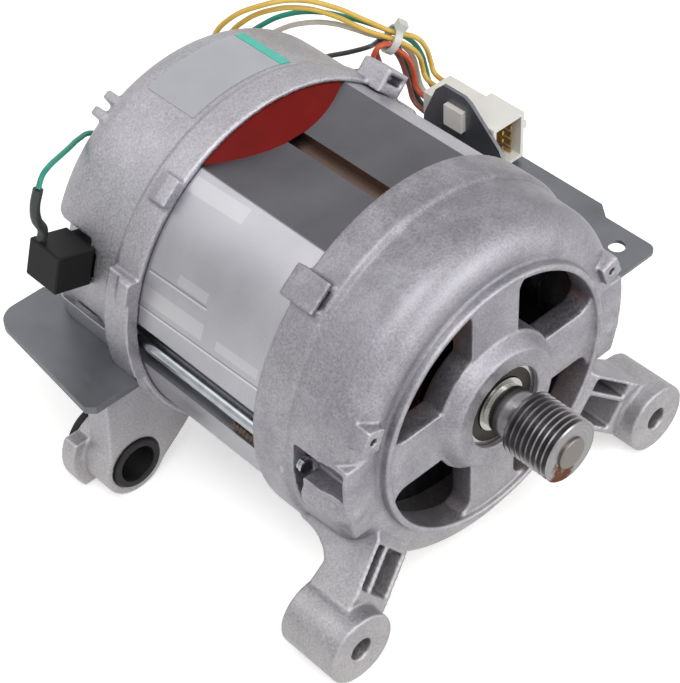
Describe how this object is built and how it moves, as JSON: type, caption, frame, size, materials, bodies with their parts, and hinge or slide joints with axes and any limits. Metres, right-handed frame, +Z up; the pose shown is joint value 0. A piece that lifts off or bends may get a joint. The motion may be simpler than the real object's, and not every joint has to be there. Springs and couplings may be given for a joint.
{
  "type": "washing machine motor",
  "caption": "Universal washing machine motor with cast end shields, exposed lamination stack, ribbed belt pulley, mounting lugs, side plates and a wired connector.",
  "frame": {"origin": "on the shaft's axis, in the middle of the pulley's belt band", "axes": "+Y along the shaft from the pulley to the rear, +Z up, away from the surface under the lugs"},
  "size_m": [0.1945, 0.2127, 0.1421],
  "materials": {
    "cast_aluminium": "die cast, grainy and slightly mottled",
    "lamination_steel": "stacked sheets with fine lines",
    "coil_tape": "black tape over copper",
    "red_insulation": "satin",
    "zinc_steel": "bright zinc plate",
    "rusty_steel": "rusted thread",
    "turned_steel": "turned, with a brown stain",
    "bearing_steel": "polished",
    "copper": "enamelled copper",
    "black_plastic": "moulded",
    "magnet": "sintered",
    "carbon": "pressed carbon",
    "brass": "stamped",
    "black_rubber": "matt",
    "sheet_steel": "blue-grey sheet",
    "white_plastic": "moulded nylon",
    "label_film": "blank sticker",
    "turquoise_film": "sticker strip",
    "yellow_wire": "wire insulation",
    "green_wire": "wire insulation",
    "white_wire": "wire insulation",
    "orange_wire": "wire insulation",
    "brown_wire": "wire insulation",
    "black_wire": "wire insulation"
  },
  "bodies": {
    "frame": {"front_shield": "cast_aluminium", "rear_shield": "cast_aluminium", "stator_core": "lamination_steel", "field_coil_top": "coil_tape", "field_coil_bottom": "coil_tape", "insulation_caps": "red_insulation", "through_bolts": "zinc_steel", "bolt_washers": "zinc_steel", "groove_studs": "rusty_steel", "front_outer_ring": "bearing_steel", "front_dust_shields": "bearing_steel", "rear_outer_ring": "bearing_steel", "rear_dust_shields": "bearing_steel", "tacho_coil": "copper", "tacho_cap": "black_plastic", "brush_holder_left": "black_plastic", "brush_holder_right": "black_plastic", "brush_spring_left": "bearing_steel", "brush_spring_right": "bearing_steel", "brush_terminal_left": "brass", "brush_terminal_right": "brass", "terminal_cover_left": "black_plastic", "terminal_cover_right": "black_plastic", "bush_left": "black_rubber", "bush_right": "black_rubber", "side_plate": "sheet_steel", "connector_plate": "sheet_steel", "plate_screws": "zinc_steel", "connector_housing": "white_plastic", "connector_pins": "brass", "label": "label_film", "label_strip": "turquoise_film", "cable_tie": "white_plastic", "wire_yellow_upper": "yellow_wire", "wire_yellow_lower": "yellow_wire", "wire_green": "green_wire", "wire_white": "white_wire", "wire_orange": "orange_wire", "wire_brown": "brown_wire", "wire_black": "black_wire", "brush_lead_left": "green_wire", "lead_sleeve_left": "black_wire"},
    "rotor": {"shaft": "turned_steel", "pulley": "turned_steel", "front_inner_ring": "bearing_steel", "rear_inner_ring": "bearing_steel", "armature_core": "lamination_steel", "armature_winding": "copper", "armature_front_winding": "copper", "winding_sleeve": "black_plastic", "commutator": "copper", "commutator_hub": "black_plastic", "tacho_magnet": "magnet"},
    "front_cage": {"front_ball_cage": "bearing_steel"},
    "rear_cage": {"rear_ball_cage": "bearing_steel"},
    "left_brush": {"brush_left": "carbon"},
    "right_brush": {"brush_right": "carbon"}
  },
  "joints": [
    {"name": "rotor_turn", "type": "hinge", "parent": "frame", "child": "rotor", "pos_m": [0, 0, 0], "axis": [0, 1, 0], "continuous": true},
    {"name": "front_cage_turn", "type": "hinge", "parent": "frame", "child": "front_cage", "pos_m": [0, 0, 0], "axis": [0, 1, 0], "continuous": true},
    {"name": "rear_cage_turn", "type": "hinge", "parent": "frame", "child": "rear_cage", "pos_m": [0, 0, 0], "axis": [0, 1, 0], "continuous": true},
    {"name": "left_brush_slide", "type": "slide", "parent": "frame", "child": "left_brush", "axis": [-0.9563, 0, 0.2924], "range_m": [0, 0.006], "deforming": ["brush_spring_left"]},
    {"name": "right_brush_slide", "type": "slide", "parent": "frame", "child": "right_brush", "axis": [0.9563, 0, -0.2924], "range_m": [0, 0.006], "deforming": ["brush_spring_right"]}
  ],
  "couplings": [
    {"joint": "front_cage_turn", "follows": "rotor_turn", "ratio": 0.38},
    {"joint": "rear_cage_turn", "follows": "rotor_turn", "ratio": 0.364}
  ]
}
